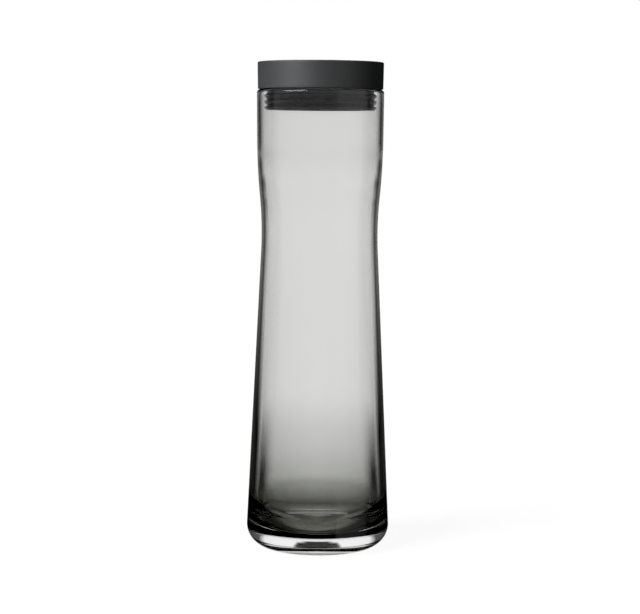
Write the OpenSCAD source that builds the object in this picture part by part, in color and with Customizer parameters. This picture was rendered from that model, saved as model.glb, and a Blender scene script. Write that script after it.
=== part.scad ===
// Water carafe: a waisted glass with a heavy foot, closed by a drum lid whose plug seals with three lips.
// Millimetres, +Z up, origin at the centre of the foot on the table.

/* [Glass outside] */
// Height of the glass from the table to the rim
glass_h = 291.6; // [220:0.1:340]
// Diameter of the body's cone where its line meets the table
foot_d = 92.5; // [88:0.1:98]
// Radius of the rounded heel
heel_round = 14.6; // [8:0.1:18]
// Width of the flat ring that the carafe stands on
rest_w = 5; // [2:0.1:8]
// Depth of the hollow under the foot
punt_depth = 2.4; // [0.5:0.1:4]
// Height from the waist, where the body is slimmest, to the shoulder
flare_h = 35.4; // [25:0.1:50]
// Diameter of the waist, at the corner of its outline
waist_d = 72.8; // [68:0.1:76]
// Radius that rounds the waist's outline
waist_round = 81; // [40:1:120]
// Height of the neck, from the shoulder to the rim
neck_h = 49.6; // [35:0.1:65]
// Diameter of the shoulder, at the corner of its outline
shoulder_d = 79.7; // [78:0.1:84]
// Radius that rounds the shoulder's outline
shoulder_round = 400; // [100:1:450]
// Outer diameter of the neck at the rim
neck_d = 80.6; // [78:0.1:84]
// Radius of the fire-polished rim
rim_round = 2; // [0.5:0.1:2.1]

/* [Glass inside] */
// Thickness of the solid glass under the lowest point of the inner floor
floor_t = 9.8; // [7:0.1:14]
// Radius of the shallow bowl that the inner floor forms
floor_bowl = 89; // [60:1:200]
// Radius that leads from the inner floor into the wall
floor_round = 22; // [12:0.1:26]
// Wall thickness beside the inner floor
wall_foot = 5.4; // [4.5:0.1:7]
// Wall thickness at the waist
wall_waist = 4.2; // [3:0.1:5.5]
// Wall thickness at the shoulder
wall_shoulder = 4.3; // [3:0.1:5.5]
// Wall thickness at the rim
wall_rim = 4.4; // [4.2:0.1:5.5]
// Radius that rounds the bore at the waist
bore_waist_round = 70; // [40:1:120]
// Radius that rounds the bore at the shoulder
bore_shoulder_round = 200; // [100:1:300]

/* [Lid cap] */
// Height of the drum
cap_h = 16.9; // [14:0.1:24]
// How far the drum's lower edge stands in from the outside of the rim
cap_setback = 0.7; // [0:0.1:1.5]
// How much wider the drum's radius is at the top than at the bottom
cap_flare = 0.3; // [0:0.1:1]
// Radius of the drum's top edge
cap_round = 0.8; // [0.3:0.1:1.5]
// Thickness of the drum's top
cap_top_t = 2.4; // [1.5:0.1:4]
// Wall of the drum round the core's brim
cap_wall = 1.6; // [1.3:0.1:2.4]
// Width of the step inside the drum that the brim seats against
cap_step = 1.6; // [1:0.1:3]
// Gap between the rim and the lid's underside
seat_gap = 0.3; // [0.1:0.05:0.5]

/* [Lid core] */
// How far the plug reaches below the rim
plug_depth = 12.9; // [12:0.1:18]
// Thickness of the core's brim
brim_t = 2; // [1.6:0.1:3]
// Wall of the core's cup
core_wall = 2; // [1.2:0.1:3]
// Floor of the core's cup
core_floor = 2; // [1.2:0.1:3]
// Height of the toe that holds the sleeve's lower end
toe_h = 0.8; // [0.5:0.1:1.2]
// How far the toe stands out past the root of the lips
toe_out = 0.6; // [0.2:0.1:1]
// Depth of the dish in the core's underside
dish_depth = 1; // [0.5:0.1:1.5]
// Width of the flat edge round the dish
dish_edge = 4; // [2:0.1:8]
// Radius of the snap bead on the brim
snap_r = 0.4; // [0.3:0.05:0.5]

/* [Lid seal] */
// Number of sealing lips
lip_count = 3; // [2:1:3]
// Distance from one lip to the next
lip_pitch = 3.75; // [3.2:0.05:3.8]
// Height of the lowest lip's tip above the sleeve's lower end
lip_start = 0.5; // [0.4:0.05:0.8]
// How far a lip stands out from the sleeve
lip_depth = 1.8; // [1:0.1:2.2]
// Height of a lip's upper face
lip_rise = 1.3; // [0.8:0.1:1.6]
// Thickness of a lip's blunt tip
lip_edge = 0.3; // [0.2:0.05:0.5]
// Width of the flat root between two lips
lip_root = 0.25; // [0.1:0.05:0.4]
// Thickness of the sleeve under the lips
sleeve_t = 1.4; // [1:0.1:2]
// Thickness of the soft pad between the drum and the rim
pad_t = 1; // [0.8:0.1:1.5]
// Clearance between the lips and the bore
lip_gap = 0.2; // [0.1:0.05:0.4]
// Clearance between pieces of the lid that fit into each other
fit_gap = 0.05; // [0.02:0.01:0.1]

/* [Hidden] */

// Facets round the axis, and steps along the arcs of an outline
$fn = 128;
long_steps = 16;
short_steps = 6;
bead_facets = 36;
// Share of the shorter side that a corner's rounding may take up
corner_room_share = 0.49;

// A direction of length one
function unit(v) = v / norm(v);

// Largest rounding that fits the corner at b between a and c
function fitting_round(a, b, c, r) = let(
    half = acos(unit(a - b) * unit(c - b)) / 2,
    room = min(norm(a - b), norm(c - b)) * corner_room_share
  ) min(r, room * tan(half));

// Length of the straight side that a rounding of radius r takes at the corner b
function taken_side(a, b, c, r) =
  fitting_round(a, b, c, r) / tan(acos(unit(a - b) * unit(c - b)) / 2);

// Points of the arc that rounds the corner at b between a and c
function rounded(a, b, c, r, steps) = let(
    u = unit(a - b),
    v = unit(c - b),
    half = acos(u * v) / 2,
    radius = fitting_round(a, b, c, r),
    centre = b + unit(u + v) * radius / sin(half),
    start = b + u * radius / tan(half) - centre,
    end = b + v * radius / tan(half) - centre,
    from = atan2(start.y, start.x),
    turn = (atan2(end.y, end.x) - from + 540) % 360 - 180
  ) [for (i = [0:steps]) centre + radius * [cos(from + turn * i / steps), sin(from + turn * i / steps)]];

// Points of an arc of radius r round centre between two angles, without its last point
function arc(centre, r, from, to, steps) =
  [for (i = [0:steps - 1]) let(a = from + (to - from) * i / steps) centre + r * [cos(a), sin(a)]];

// Heights along the glass
shoulder_h = glass_h - neck_h;
waist_h = shoulder_h - flare_h;

// Corners of the glass's outside, from the table up
axis_foot = [0, 0];
foot = [foot_d / 2, 0];
waist = [waist_d / 2, waist_h];
shoulder = [shoulder_d / 2, shoulder_h];
rim = [neck_d / 2, glass_h];

// Corners of the glass's inside, from the rim down
bore_rim = rim - [wall_rim, 0];
bore_shoulder = shoulder - [wall_shoulder, 0];
bore_waist = waist - [wall_waist, 0];
cone_at_floor = foot + (waist - foot) * floor_t / waist_h;
bore_foot = cone_at_floor - [wall_foot, 0];
axis_floor = [0, floor_t];

// Inner floor: a shallow bowl on the axis, and the rounding that runs from it into the bore's wall
bowl_centre = axis_floor + [0, floor_bowl];
wall_way = unit(bore_waist - bore_foot);
wall_inward = [-wall_way.y, wall_way.x];
round_line = bore_foot + floor_round * wall_inward - bowl_centre;
round_foot = round_line * wall_way;
round_reach = floor_bowl - floor_round;
round_drop = sqrt(round_foot * round_foot - round_line * round_line + round_reach * round_reach);
round_centre = bowl_centre + round_line - (round_foot + round_drop) * wall_way;
round_from = atan2(-wall_inward.y, -wall_inward.x);
bowl_from = atan2(round_centre.y - bowl_centre.y, round_centre.x - bowl_centre.x);
bowl_to = -90;

// Ring that the foot rests on, and the radius of the dome that hollows it
rest_outer = foot.x - taken_side(axis_foot, foot, waist, heel_round);
punt_r = rest_outer - rest_w;
punt_dome = (punt_r * punt_r + punt_depth * punt_depth) / (2 * punt_depth);
punt_angle = asin(punt_r / punt_dome);

// Heights in the lid
lid_z = glass_h + seat_gap;
brim_z = lid_z + pad_t;
step_z = brim_z + brim_t;
bead_z = brim_z + brim_t / 2;
top_z = lid_z + cap_h;
plug_z = glass_h - plug_depth;
sleeve_z = plug_z + toe_h;

// Radii in the lid, from the bore inwards
bore_at_plug = bore_shoulder.x + (bore_rim.x - bore_shoulder.x) * (plug_z - shoulder_h) / (glass_h - shoulder_h);
lip_r = min(bore_at_plug, bore_rim.x) - lip_gap;
root_r = lip_r - lip_depth;
sleeve_r = root_r - sleeve_t;
core_r = sleeve_r - fit_gap;
toe_r = root_r + toe_out;
cap_r = rim.x - cap_setback;
brim_r = cap_r - cap_wall;

// Blown glass: outside, rim, bore and floor in one outline turned round the axis
module carafe_glass() {
  outline = concat(
    [for (i = [0:short_steps - 1]) let(a = punt_angle * i / short_steps)
      [punt_dome * sin(a), punt_depth - punt_dome * (1 - cos(a))]],
    [[punt_r, 0]],
    rounded(axis_foot, foot, waist, heel_round, long_steps),
    rounded(foot, waist, shoulder, waist_round, long_steps),
    rounded(waist, shoulder, rim, shoulder_round, long_steps),
    rounded(shoulder, rim, bore_rim, rim_round, short_steps),
    rounded(rim, bore_rim, bore_shoulder, rim_round, short_steps),
    rounded(bore_rim, bore_shoulder, bore_waist, bore_shoulder_round, long_steps),
    rounded(bore_shoulder, bore_waist, bore_foot, bore_waist_round, long_steps),
    arc(round_centre, floor_round, round_from, bowl_from, long_steps),
    arc(bowl_centre, floor_bowl, bowl_from, bowl_to, short_steps),
    [axis_floor]
  );
  color("dimgray", 0.5) rotate_extrude() polygon(outline);
}

// Drum: a thin skirt and top, with a step for the core's brim and a groove for its bead
module lid_cap() {
  low = [cap_r, lid_z];
  high = [cap_r + cap_flare, top_z];
  middle = [0, top_z];
  cavity_r = brim_r - cap_step;
  color("#4a4b4e") rotate_extrude() difference() {
    polygon(concat(
      [[brim_r, lid_z], low],
      rounded(low, high, middle, cap_round, short_steps),
      [middle, [0, top_z - cap_top_t], [cavity_r, top_z - cap_top_t], [cavity_r, step_z], [brim_r, step_z]]
    ));
    translate([brim_r, bead_z]) circle(snap_r + fit_gap, $fn = bead_facets);
  }
}

// Stiff hat inside the lid: a brim with a snap bead, and a cup whose toe keeps the sleeve on
module lid_core() {
  dish_r = toe_r - dish_edge;
  cup_r = core_r - core_wall;
  toe = [toe_r, plug_z];
  color("#1c1c1e") rotate_extrude() {
    polygon(concat(
      [[0, plug_z + dish_depth], [dish_r - dish_depth, plug_z + dish_depth], [dish_r, plug_z]],
      rounded([dish_r, plug_z], toe, [toe_r, sleeve_z], toe_h, short_steps),
      [[toe_r, sleeve_z], [core_r, sleeve_z], [core_r, brim_z], [brim_r - fit_gap, brim_z]],
      [[brim_r - fit_gap, step_z], [cup_r, step_z]],
      [[cup_r, plug_z + dish_depth + core_floor], [0, plug_z + dish_depth + core_floor]]
    ));
    translate([brim_r - fit_gap, bead_z]) circle(snap_r, $fn = bead_facets);
  }
}

// Height of the underside of a lip's tip, counted from the lowest
function lip_z(i) = sleeve_z + lip_start + i * lip_pitch;

// Outline of one lip from below: a long lead-in face, which the sleeve's end cuts off on the lowest lip,
// a blunt tip and a short upper face
function lip(i) = let(
    lead = lip_pitch - lip_rise - lip_root,
    shown = min(lead, lip_z(i) - sleeve_z)
  ) [
    [lip_r - lip_depth * shown / lead, lip_z(i) - shown],
    [lip_r, lip_z(i)],
    [lip_r, lip_z(i) + lip_edge],
    [root_r, lip_z(i) + lip_rise]
  ];

// Soft sleeve with its lips, and the pad that lies between the drum and the rim
module lid_seal() {
  color("#111112") rotate_extrude() polygon(concat(
    [[sleeve_r, sleeve_z]],
    [for (i = [0:lip_count - 1]) each lip(i)],
    [[root_r, lid_z], [brim_r - fit_gap, lid_z], [brim_r - fit_gap, brim_z], [sleeve_r, brim_z]]
  ));
}

carafe_glass();
lid_cap();
lid_core();
lid_seal();
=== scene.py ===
import math

import bpy
from mathutils import Matrix, Vector


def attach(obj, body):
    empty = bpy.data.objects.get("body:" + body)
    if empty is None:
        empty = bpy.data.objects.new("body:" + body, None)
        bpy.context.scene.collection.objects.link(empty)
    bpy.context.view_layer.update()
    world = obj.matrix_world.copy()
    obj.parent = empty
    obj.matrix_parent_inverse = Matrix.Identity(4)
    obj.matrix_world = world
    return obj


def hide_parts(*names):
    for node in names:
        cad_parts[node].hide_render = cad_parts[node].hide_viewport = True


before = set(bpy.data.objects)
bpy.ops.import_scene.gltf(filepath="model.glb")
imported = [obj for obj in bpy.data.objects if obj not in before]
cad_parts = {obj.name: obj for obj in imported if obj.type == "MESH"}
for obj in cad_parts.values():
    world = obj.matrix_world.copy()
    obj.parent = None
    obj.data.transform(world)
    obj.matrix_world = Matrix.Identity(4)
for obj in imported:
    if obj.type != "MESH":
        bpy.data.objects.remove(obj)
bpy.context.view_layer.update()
scene = bpy.context.scene

# Sizes in millimetres, repeated from the part's source
GLASS_H, FOOT_D, HEEL_ROUND, REST_W, PUNT_DEPTH = 291.6, 92.5, 14.6, 5.0, 2.4
FLARE_H, WAIST_D, NECK_H = 35.4, 72.8, 49.6
SHOULDER_D, SHOULDER_ROUND, NECK_D, RIM_ROUND = 79.7, 400.0, 80.6, 2.0
FLOOR_T, FLOOR_BOWL, FLOOR_ROUND = 9.8, 89.0, 22.0
WALL_FOOT, WALL_WAIST = 5.4, 4.2
WALL_SHOULDER, WALL_RIM, BORE_SHOULDER_ROUND = 4.3, 4.4, 200.0
CAP_H, CAP_SETBACK, CAP_FLARE, CAP_ROUND, CAP_TOP_T = 16.9, 0.7, 0.3, 0.8, 2.4
CAP_WALL, CAP_STEP, SEAT_GAP = 1.6, 1.6, 0.3
PLUG_DEPTH, BRIM_T, CORE_WALL, CORE_FLOOR, TOE_H, TOE_OUT = 12.9, 2.0, 2.0, 2.0, 0.8, 0.6
DISH_DEPTH, DISH_EDGE = 1.0, 4.0
LIP_COUNT, LIP_PITCH, LIP_START, LIP_DEPTH, LIP_RISE = 3, 3.75, 0.5, 1.8, 1.3
LIP_EDGE, LIP_ROOT, SLEEVE_T, PAD_T, LIP_GAP, FIT_GAP = 0.3, 0.25, 1.4, 1.0, 0.2, 0.05
# The waist turns more gently here than the source's 81 and 70, by 0.4 mm at most
WAIST_ROUND, BORE_WAIST_ROUND = 240.0, 230.0
MM = 0.001
# Keeps these finer outlines inside the box of the source's coarser ones
TRIM = 0.9996
ROUND_SHARE = 0.49
# Points along each arc
LONG_ARC, WALL_ARC, PUNT_ARC, SHORT_ARC = 48, 32, 24, 12
# Roundings of edges that the source leaves sharp, and the longest straight side of an outline
SKIRT_EDGE, DISH_ROUND, TOE_ROUND, TIP_ROUND = 0.25, 0.4, 0.35, 0.14
GLASS_SIDE, CAP_SIDE, HIDDEN_SIDE = 2.0, 1.5, 3.0


# Outlines

def rounded(a, b, c, r, steps):
    """Points of the arc that rounds the corner at b between a and c."""
    a, b, c = Vector(a), Vector(b), Vector(c)
    u, v = (a - b).normalized(), (c - b).normalized()
    half = math.acos(max(-1.0, min(1.0, u.dot(v)))) / 2
    room = min((a - b).length, (c - b).length) * ROUND_SHARE
    radius = min(r, room * math.tan(half))
    centre = b + (u + v).normalized() * radius / math.sin(half)
    start = b + u * radius / math.tan(half) - centre
    end = b + v * radius / math.tan(half) - centre
    first = math.atan2(start.y, start.x)
    turn = (math.atan2(end.y, end.x) - first + 3 * math.pi) % (2 * math.pi) - math.pi
    return [
        (centre.x + radius * math.cos(first + turn * i / steps),
         centre.y + radius * math.sin(first + turn * i / steps))
        for i in range(steps + 1)
    ]


def bowl(wall_top, wall_foot, bottom, middle, side, steps):
    """Points of the round bottom of the bore, from its wall down to the axis: two arcs that meet smoothly."""
    wall_top, foot, centre = Vector(wall_top), Vector(wall_foot), Vector((0.0, bottom + middle))
    along = (wall_top - foot).normalized()
    inward = Vector((-along.y, along.x))
    start = foot + inward * side - centre
    half = start.dot(along)
    rise = -half - math.sqrt(half * half - start.dot(start) + (middle - side) ** 2)
    small = foot + inward * side + along * rise
    first = math.atan2(-inward.y, -inward.x)
    turn = math.atan2(small.y - centre.y, small.x - centre.x)
    sides = [
        (small.x + side * math.cos(first + (turn - first) * i / steps),
         small.y + side * math.sin(first + (turn - first) * i / steps))
        for i in range(steps + 1)
    ]
    down = -math.pi / 2
    return sides + [
        (max(0.0, centre.x + middle * math.cos(turn + (down - turn) * i / steps)),
         centre.y + middle * math.sin(turn + (down - turn) * i / steps))
        for i in range(1, steps + 1)
    ]


def fine(points, step, closed=False):
    """The outline with its long sides cut into parts no longer than step."""
    out = []
    pairs = list(zip(points, points[1:] + points[:1] if closed else points[1:]))
    for (x0, z0), (x1, z1) in pairs:
        parts = max(1, math.ceil(math.hypot(x1 - x0, z1 - z0) / step))
        out += [(x0 + (x1 - x0) * i / parts, z0 + (z1 - z0) * i / parts) for i in range(parts)]
    return out if closed else out + [points[-1]]


# Turned meshes

def turned(name, outline, segments=256, sharp=50, closed=False):
    """Mesh of an outline in millimetres turned round the axis, from axis to axis or closed in itself."""
    verts, faces, rings = [], [], []
    for x, z in outline:
        if x < 1e-6:
            rings.append([len(verts)])
            verts.append((0.0, 0.0, z * MM))
            continue
        rings.append(list(range(len(verts), len(verts) + segments)))
        for i in range(segments):
            a = 2 * math.pi * i / segments
            verts.append((x * MM * TRIM * math.cos(a), x * MM * TRIM * math.sin(a), z * MM))
    pairs = list(zip(rings, rings[1:] + ([rings[0]] if closed else [])))
    for low, high in pairs:
        for i in range(segments):
            j = (i + 1) % segments
            if len(low) == 1 and len(high) > 1:
                faces.append((low[0], high[j], high[i]))
            elif len(high) == 1 and len(low) > 1:
                faces.append((low[i], low[j], high[0]))
            elif len(low) > 1:
                faces.append((low[i], low[j], high[j], high[i]))
    mesh = bpy.data.meshes.new(name)
    mesh.from_pydata(verts, [], faces)
    mesh.validate()
    for poly in mesh.polygons:
        poly.use_smooth = True
    mesh.set_sharp_from_angle(angle=math.radians(sharp))
    obj = bpy.data.objects.new(name, mesh)
    scene.collection.objects.link(obj)
    return obj


# Materials

def material(name):
    """A new material with an empty node tree, its nodes and its links."""
    mat = bpy.data.materials.new(name)
    mat.use_nodes = True
    nodes = mat.node_tree.nodes
    nodes.clear()
    return mat, nodes, mat.node_tree.links


def maths(nodes, links, operation, *values):
    """Output of a Math node whose inputs are numbers or other outputs."""
    node = nodes.new("ShaderNodeMath")
    node.operation = operation
    for socket, value in zip(node.inputs, values):
        if isinstance(value, float):
            socket.default_value = value
        else:
            links.new(value, socket)
    return node.outputs[0]


def clear_glass():
    """The clear casing of the glass."""
    mat, nodes, links = material("clear_glass")
    out = nodes.new("ShaderNodeOutputMaterial")
    glass = nodes.new("ShaderNodeBsdfPrincipled")
    glass.inputs["Base Color"].default_value = (1, 1, 1, 1)
    glass.inputs["Roughness"].default_value = 0.0
    glass.inputs["IOR"].default_value = 1.5
    glass.inputs["Transmission Weight"].default_value = 1.0
    links.new(glass.outputs[0], out.inputs["Surface"])
    return mat


def smoke_layer():
    """Smoke-grey glass fused to the inside of the casing, which only takes light away."""
    mat, nodes, links = material("smoke_layer")
    out = nodes.new("ShaderNodeOutputMaterial")
    clear = nodes.new("ShaderNodeBsdfTransparent")
    smoke = nodes.new("ShaderNodeVolumeAbsorption")
    smoke.inputs["Color"].default_value = (0.50, 0.51, 0.465, 1)
    smoke.inputs["Density"].default_value = SMOKE_DENSITY
    links.new(clear.outputs[0], out.inputs["Surface"])
    links.new(smoke.outputs[0], out.inputs["Volume"])
    return mat


def moulded(name, colour, roughness, grain, bump, specular=0.5):
    """Moulded plastic or rubber: a fine grain in the surface, and cloudy changes of tone and gloss."""
    darker, lighter, gloss_change, grain_depth = 0.93, 1.06, 0.04, 0.00005
    mat, nodes, links = material(name)
    out = nodes.new("ShaderNodeOutputMaterial")
    skin = nodes.new("ShaderNodeBsdfPrincipled")
    place = nodes.new("ShaderNodeTexCoord")
    clouds = nodes.new("ShaderNodeTexNoise")
    clouds.inputs["Scale"].default_value = 60.0
    clouds.inputs["Detail"].default_value = 4.0
    links.new(place.outputs["Object"], clouds.inputs["Vector"])
    tone = nodes.new("ShaderNodeValToRGB")
    tone.color_ramp.elements[0].position = 0.3
    tone.color_ramp.elements[0].color = tuple(c * darker for c in colour) + (1,)
    tone.color_ramp.elements[1].position = 0.7
    tone.color_ramp.elements[1].color = tuple(c * lighter for c in colour) + (1,)
    links.new(clouds.outputs["Fac"], tone.inputs["Fac"])
    links.new(tone.outputs["Color"], skin.inputs["Base Color"])
    gloss = nodes.new("ShaderNodeMapRange")
    gloss.inputs["To Min"].default_value = roughness - gloss_change
    gloss.inputs["To Max"].default_value = roughness + gloss_change
    links.new(clouds.outputs["Fac"], gloss.inputs["Value"])
    links.new(gloss.outputs["Result"], skin.inputs["Roughness"])
    skin.inputs["Specular IOR Level"].default_value = specular
    fine_grain = nodes.new("ShaderNodeTexNoise")
    fine_grain.inputs["Scale"].default_value = grain
    fine_grain.inputs["Detail"].default_value = 3.0
    links.new(place.outputs["Object"], fine_grain.inputs["Vector"])
    relief = nodes.new("ShaderNodeBump")
    relief.inputs["Strength"].default_value = bump
    relief.inputs["Distance"].default_value = grain_depth
    links.new(fine_grain.outputs["Fac"], relief.inputs["Height"])
    links.new(relief.outputs["Normal"], skin.inputs["Normal"])
    links.new(skin.outputs[0], out.inputs["Surface"])
    return mat


# Corners of the glass, from the source's values
shoulder_h = GLASS_H - NECK_H
waist_h = shoulder_h - FLARE_H
axis_foot, foot = (0.0, 0.0), (FOOT_D / 2, 0.0)
waist, shoulder, rim = (WAIST_D / 2, waist_h), (SHOULDER_D / 2, shoulder_h), (NECK_D / 2, GLASS_H)
bore_rim = (rim[0] - WALL_RIM, GLASS_H)
bore_shoulder = (shoulder[0] - WALL_SHOULDER, shoulder_h)
bore_waist = (waist[0] - WALL_WAIST, waist_h)
bore_foot = (foot[0] + (waist[0] - foot[0]) * FLOOR_T / waist_h - WALL_FOOT, FLOOR_T)

heel = rounded(axis_foot, foot, waist, HEEL_ROUND, LONG_ARC)
punt_r = heel[0][0] - REST_W
dome = (punt_r ** 2 + PUNT_DEPTH ** 2) / (2 * PUNT_DEPTH)
punt_angle = math.asin(punt_r / dome)
punt_angles = [punt_angle * i / PUNT_ARC for i in range(PUNT_ARC + 1)]
punt = [(dome * math.sin(a), PUNT_DEPTH - dome * (1 - math.cos(a))) for a in punt_angles]
outside = (
    punt + heel
    + rounded(foot, waist, shoulder, WAIST_ROUND, WALL_ARC)
    + rounded(waist, shoulder, rim, SHOULDER_ROUND, WALL_ARC)
    + rounded(shoulder, rim, bore_rim, RIM_ROUND, SHORT_ARC)
)
inside = (
    rounded(rim, bore_rim, bore_shoulder, RIM_ROUND, SHORT_ARC)
    + rounded(bore_rim, bore_shoulder, bore_waist, BORE_SHOULDER_ROUND, WALL_ARC)
    + rounded(bore_shoulder, bore_waist, bore_foot, BORE_WAIST_ROUND, WALL_ARC)
    + bowl(bore_waist, bore_foot, FLOOR_T, FLOOR_BOWL, FLOOR_ROUND, LONG_ARC)
)

SMOKE_DENSITY = 2500.0
# Thickness of the smoke layer at heights above the table, in millimetres
SMOKE = [
    (0, 0.02), (12, 0.02), (14, 0.32), (24, 0.72), (33, 0.54), (40, 0.27), (62, 0.14), (100, 0.04),
    (292, 0.04),
]
# How far the layer lies under the bore's surface, and how far under the rim it ends
LAYER_GAP, LAYER_TOP = 0.05, 3


def smoke_at(z):
    """Thickness of the smoke layer at a height."""
    for (z0, t0), (z1, t1) in zip(SMOKE, SMOKE[1:]):
        if z <= z1:
            share = (z - z0) / (z1 - z0)
            share = share * share * (3 - 2 * share)
            return t0 + (t1 - t0) * share
    return SMOKE[-1][1]


def pushed(points, depth):
    """The outline moved into the wall by a depth that depends on height."""
    out = []
    for i, (x, z) in enumerate(points):
        x0, z0 = points[max(0, i - 1)]
        x1, z1 = points[min(len(points) - 1, i + 1)]
        length = math.hypot(x1 - x0, z1 - z0)
        nx, nz = -(z1 - z0) / length, (x1 - x0) / length
        if i == len(points) - 1:
            nx, nz = 0.0, -1.0
        d = depth(z)
        out.append((max(0.0, x + nx * d), z + nz * d))
    return out


glass = turned("glass_body", fine(outside + inside, GLASS_SIDE))
glass.data.materials.append(clear_glass())

bore = [point for point in fine(inside, GLASS_SIDE) if point[1] < GLASS_H - LAYER_TOP]
near = pushed(bore, lambda z: LAYER_GAP)
far = pushed(bore, lambda z: LAYER_GAP + smoke_at(z))
smoke = turned("smoke_layer", far[::-1] + near, sharp=60)
smoke.data.materials.append(smoke_layer())

# Lid
lid_z = GLASS_H + SEAT_GAP
brim_z = lid_z + PAD_T
step_z = brim_z + BRIM_T
top_z = lid_z + CAP_H
plug_z = GLASS_H - PLUG_DEPTH
sleeve_z = plug_z + TOE_H
bore_at_plug = bore_shoulder[0] + (bore_rim[0] - bore_shoulder[0]) * (plug_z - shoulder_h) / NECK_H
lip_r = min(bore_at_plug, bore_rim[0]) - LIP_GAP
root_r = lip_r - LIP_DEPTH
sleeve_r = root_r - SLEEVE_T
core_r = sleeve_r - FIT_GAP
toe_r = root_r + TOE_OUT
cap_r = rim[0] - CAP_SETBACK
brim_r = cap_r - CAP_WALL
cavity_r = brim_r - CAP_STEP
seam_r = brim_r - FIT_GAP

low, high, middle = (cap_r, lid_z), (cap_r + CAP_FLARE, top_z), (0.0, top_z)
cap_line = (
    rounded((brim_r, step_z), (brim_r, lid_z), low, SKIRT_EDGE, 4)
    + rounded((brim_r, lid_z), low, high, SKIRT_EDGE, 5)
    + rounded(low, high, middle, CAP_ROUND, SHORT_ARC)
    + [middle]
)
cap_under = [(0.0, top_z - CAP_TOP_T), (cavity_r, top_z - CAP_TOP_T), (cavity_r, step_z), (brim_r, step_z)]
cap = turned("cap_shell", fine(cap_under, HIDDEN_SIDE) + fine(cap_line, CAP_SIDE), sharp=35)
cap_finish = moulded("anthracite_plastic", (0.074, 0.076, 0.079), 0.52, 2600.0, 0.35, 0.7)
cap.data.materials.append(cap_finish)

dish_r = toe_r - DISH_EDGE
cup_r = core_r - CORE_WALL
hollow_z = plug_z + DISH_DEPTH + CORE_FLOOR
dish_middle, dish_foot = (0.0, plug_z + DISH_DEPTH), (dish_r - DISH_DEPTH, plug_z + DISH_DEPTH)
dish_rim, toe, toe_top = (dish_r, plug_z), (toe_r, plug_z), (toe_r, sleeve_z)
core_line = (
    [dish_middle]
    + rounded(dish_middle, dish_foot, dish_rim, DISH_ROUND, 6)
    + rounded(dish_foot, dish_rim, toe, DISH_ROUND, 6)
    + rounded(dish_rim, toe, toe_top, TOE_ROUND, 8)
    + [toe_top, (core_r, sleeve_z), (core_r, brim_z), (seam_r, brim_z), (seam_r, step_z),
       (cup_r, step_z), (cup_r, hollow_z), (0.0, hollow_z)]
)
core = turned("core_hat", fine(core_line, HIDDEN_SIDE), segments=192, sharp=35)
core.data.materials.append(moulded("black_moulding", (0.012, 0.012, 0.014), 0.42, 1800.0, 0.25))


def lip(i):
    """Outline of a lip, counted from the lowest: a long lead-in face, a blunt tip and a short upper face."""
    z = sleeve_z + LIP_START + i * LIP_PITCH
    lead = LIP_PITCH - LIP_RISE - LIP_ROOT
    shown = min(lead, z - sleeve_z)
    base = (lip_r - LIP_DEPTH * shown / lead, z - shown)
    tip, blunt, top = (lip_r, z), (lip_r, z + LIP_EDGE), (root_r, z + LIP_RISE)
    points = [base]
    points += rounded(base, tip, blunt, TIP_ROUND, 4)
    points += rounded(tip, blunt, top, TIP_ROUND, 4)
    return points + [top]


seal_line = [(sleeve_r, sleeve_z)]
for i in range(LIP_COUNT):
    seal_line += lip(i)
seal_line += [(root_r, lid_z), (seam_r, lid_z), (seam_r, brim_z), (sleeve_r, brim_z)]
seal = turned("seal_lips", seal_line, sharp=35, closed=True)
seal.data.materials.append(moulded("black_rubber", (0.005, 0.005, 0.006), 0.38, 2200.0, 0.2, 0.35))

for piece, body, node, slot in (
    (glass, "carafe", "carafe_glass", "smoke_glass"),
    (smoke, "carafe", None, "smoke_glass"),
    (cap, "lid", "lid_cap", "anthracite_cap"),
    (core, "lid", "lid_core", "black_core"),
    (seal, "lid", "lid_seal", "black_seal"),
):
    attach(piece, body)
    if node:
        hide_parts(node)

# Floor: seen by the camera, with the shadow; glass and gloss see the world's surroundings in its place
FLOOR_REACH, FLOOR_DROP = 30.0, 0.0003
# The floor's own grey, which takes the shadow, and what it adds for the camera to reach white
FLOOR_GREY, FLOOR_GLOW = 0.22, 0.94
floor_mesh = bpy.data.meshes.new("floor")
corners = [(x * FLOOR_REACH, y * FLOOR_REACH, -FLOOR_DROP) for x, y in ((-1, -1), (1, -1), (1, 1), (-1, 1))]
floor_mesh.from_pydata(corners, [], [(0, 1, 2, 3)])
floor = bpy.data.objects.new("floor", floor_mesh)
scene.collection.objects.link(floor)
mat, nodes, links = material("pale_floor")
out = nodes.new("ShaderNodeOutputMaterial")
path = nodes.new("ShaderNodeLightPath")
pale = nodes.new("ShaderNodeBsdfDiffuse")
pale.inputs["Color"].default_value = (FLOOR_GREY, FLOOR_GREY, FLOOR_GREY, 1)
glow = nodes.new("ShaderNodeEmission")
glow.inputs["Color"].default_value = (1, 1, 1, 1)
lit = maths(nodes, links, "MULTIPLY", path.outputs["Is Camera Ray"], FLOOR_GLOW)
links.new(lit, glow.inputs["Strength"])
both = nodes.new("ShaderNodeAddShader")
links.new(pale.outputs[0], both.inputs[0])
links.new(glow.outputs[0], both.inputs[1])
gone = nodes.new("ShaderNodeBsdfTransparent")
seen_in = maths(nodes, links, "MAXIMUM", path.outputs["Is Glossy Ray"], path.outputs["Is Transmission Ray"])
mix = nodes.new("ShaderNodeMixShader")
links.new(seen_in, mix.inputs[0])
links.new(both.outputs[0], mix.inputs[1])
links.new(gone.outputs[0], mix.inputs[2])
links.new(mix.outputs[0], out.inputs["Surface"])
floor_mesh.materials.append(mat)

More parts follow.
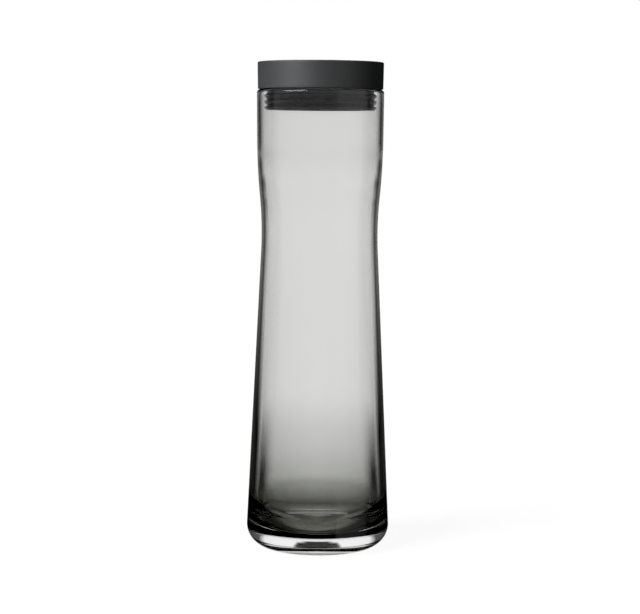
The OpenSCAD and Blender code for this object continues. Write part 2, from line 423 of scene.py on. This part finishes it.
# World: white for the camera, and the panels and cards of a studio set for what shows through the glass
world = bpy.data.worlds.new("studio")
scene.world = world
world.use_nodes = True
nodes, links = world.node_tree.nodes, world.node_tree.links
nodes.clear()
out = nodes.new("ShaderNodeOutputWorld")
back = nodes.new("ShaderNodeBackground")
links.new(back.outputs[0], out.inputs["Surface"])
path = nodes.new("ShaderNodeLightPath")
place = nodes.new("ShaderNodeTexCoord")
split = nodes.new("ShaderNodeSeparateXYZ")
links.new(place.outputs["Generated"], split.inputs[0])
angle = maths(nodes, links, "ARCTAN2", split.outputs["X"], split.outputs["Y"])
either_side = maths(nodes, links, "ABSOLUTE", angle)
slope = maths(nodes, links, "ARCSINE", split.outputs["Z"])


def sweep(turned_by, stops, start=0):
    """A grey that changes with an angle in degrees, from start to 180."""
    share = nodes.new("ShaderNodeMapRange")
    share.inputs["From Min"].default_value = math.radians(start)
    share.inputs["From Max"].default_value = math.pi
    links.new(turned_by, share.inputs["Value"])
    ramp = nodes.new("ShaderNodeValToRGB")
    line = ramp.color_ramp
    while len(line.elements) > 1:
        line.elements.remove(line.elements[-1])
    for i, (degrees, grey) in enumerate(stops):
        at = (degrees - start) / (180 - start)
        stop = line.elements[0] if i == 0 else line.elements.new(at)
        stop.position = at
        stop.color = (grey, grey, grey, 1)
    links.new(share.outputs["Result"], ramp.inputs["Fac"])
    return ramp.outputs["Color"]


def blended(factor, a, b):
    """Colour a where the factor is 0 and b where it is 1; each may be a grey."""
    mix = nodes.new("ShaderNodeMix")
    mix.data_type = "RGBA"
    links.new(factor, mix.inputs["Factor"])
    for socket, value in ((mix.inputs[6], a), (mix.inputs[7], b)):
        if isinstance(value, float):
            socket.default_value = (value, value, value, 1)
        else:
            links.new(value, socket)
    return mix.outputs[2]


# The set round the glass: for each elevation in degrees, greys by angle to either side of straight behind.
# First what shows through the solid glass of the edges and the foot: a back panel, a dark card on it just
# above the table, a bright panel round the card, and dark strips to the sides
EDGES = [
    (-60, [(0, 0.85)]),
    (-48, [(0, 0.12)]),
    (-20, [(0, 0.6), (12, 0.1), (60, 0.15), (74, 0.05), (84, 0.6)]),
    (-8, [(0, 0.1), (12, 0.02), (38, 0.0), (46, 0.2), (74, 0.02), (84, 0.6)]),
    (-4, [(0, 0.6), (12, 0.25), (30, 0.05), (42, 0.55), (74, 0.02), (84, 0.6)]),
    (1, [(0, 0.6), (12, 0.1), (25, 0.0), (42, 0.5), (74, 0.02), (84, 0.6)]),
    (4, [(0, 0.8), (20, 0.8), (30, 0.3), (45, 0.1), (74, 0.05), (84, 0.6)]),
    (7, [(0, 0.05), (8, 0.05), (12, 0.9), (36, 0.9), (45, 0.1), (74, 0.1), (84, 0.6)]),
    (10, [(0, 0.03), (12, 0.03), (14, 0.95), (37, 0.95), (45, 0.1), (74, 0.1), (84, 0.6)]),
    (14, [(0, 0.03), (11, 0.03), (13, 0.95), (38, 0.95), (46, 0.1), (74, 0.1), (84, 0.6)]),
    (18, [(0, 0.04), (6, 0.04), (10, 0.95), (38, 0.95), (46, 0.1), (74, 0.1), (84, 0.6)]),
    (21, [(0, 0.95), (38, 0.95), (46, 0.5), (180, 0.65)]),
    (50, [(0, 0.5)]),
]
# Then what shows through the inside: the back panel, dark below the table's edge and behind the card
ACROSS = [
    (-90, [(0, 0.45)]),
    (-35, [(0, 0.2), (8, 0.1), (20, 0.1), (28, 0.5), (84, 0.6)]),
    (-18, [(0, 0.7), (12, 0.1), (22, 0.1), (30, 0.5), (60, 0.5), (74, 0.05), (84, 0.6)]),
    (-10, [(0, 0.8), (8, 0.65), (15, 0.0), (26, 0.0), (34, 0.55), (60, 0.55), (74, 0.02), (84, 0.6)]),
    (-8, [(0, 0.82), (8, 0.74), (46, 0.5), (74, 0.02), (84, 0.6)]),
    (-3, [(0, 0.82), (46, 0.75), (66, 0.2), (74, 0.02), (84, 0.6)]),
    (1, [(0, 0.77), (14, 0.7), (46, 0.45), (74, 0.02), (84, 0.6)]),
    (4, [(0, 0.75), (12, 0.5), (27, 0.02), (74, 0.05), (84, 0.6)]),
    (10, [(0, 0.08), (12, 0.06), (22, 0.9), (32, 0.7), (38, 0.1), (74, 0.1), (84, 0.6)]),
    (18, [(0, 0.04), (6, 0.04), (17, 0.75), (32, 0.85), (46, 0.02), (74, 0.02), (84, 0.6)]),
    (30, [(0, 0.6), (12, 0.95), (38, 1.0), (46, 0.5), (180, 0.67)]),
    (50, [(0, 0.5)]),
]
# What the glass and the lid mirror: the back panel, and one softbox to the right of the camera
mirrored = sweep(angle, [
    (-180, 0.0), (-16, 0.0), (-10, 0.8), (10, 0.8), (16, 0.0), (92, 0.0), (100, 0.18), (130, 0.3),
    (148, 0.3), (152, 0.0),
], start=-180)


def surround(rows):
    """A grey that changes with the angle and the elevation."""
    low_el, stops = rows[0]
    grey = sweep(either_side, stops)
    for high_el, stops in rows[1:]:
        step = nodes.new("ShaderNodeMapRange")
        step.inputs["From Min"].default_value = math.radians(low_el)
        step.inputs["From Max"].default_value = math.radians(high_el)
        links.new(slope, step.inputs["Value"])
        grey = blended(step.outputs["Result"], grey, sweep(either_side, stops))
        low_el = high_el
    return grey


# Light goes through two surfaces of solid glass, or through four and more where it crosses the inside
SOLID_ONLY = 3.5
ROOM_GREY = 0.015
crossed = maths(nodes, links, "GREATER_THAN", path.outputs["Transmission Depth"], SOLID_ONLY)
through = blended(crossed, surround(EDGES), surround(ACROSS))
colour = blended(path.outputs["Is Glossy Ray"], ROOM_GREY, mirrored)
colour = blended(path.outputs["Is Transmission Ray"], colour, through)
colour = blended(path.outputs["Is Camera Ray"], colour, 1.0)
links.new(colour, back.inputs["Color"])

# Key light from the left, in front and above
KEY_ENERGY, KEY_WIDTH, KEY_FROM = 3.0, 44, (-0.8, -0.62, 0.58)
key = bpy.data.objects.new("key", bpy.data.lights.new("key", "SUN"))
key.data.energy = KEY_ENERGY
key.visible_transmission = False
key.data.angle = math.radians(KEY_WIDTH)
key.rotation_euler = Vector(KEY_FROM).to_track_quat("Z", "Y").to_euler()
scene.collection.objects.link(key)

# Camera at the photograph's view
CAMERA_AT, CAMERA_DOWN, CAMERA_ROLL, LENS = (0.0006, -1.21, 0.2631), 5.16, 0.42, 107.16
camera = bpy.data.objects.new("camera", bpy.data.cameras.new("camera"))
camera.data.lens = LENS
camera.data.sensor_width = 36.0
camera.data.clip_start = 0.05
camera.data.clip_end = 100.0
camera.matrix_world = (
    Matrix.Translation(CAMERA_AT)
    @ Matrix.Rotation(math.radians(90 - CAMERA_DOWN), 4, "X")
    @ Matrix.Rotation(math.radians(CAMERA_ROLL), 4, "Z")
)
scene.collection.objects.link(camera)
scene.camera = camera
scene.view_settings.view_transform = "Standard"
scene.cycles.max_bounces = 24
scene.cycles.transmission_bounces = 24
scene.cycles.transparent_max_bounces = 48
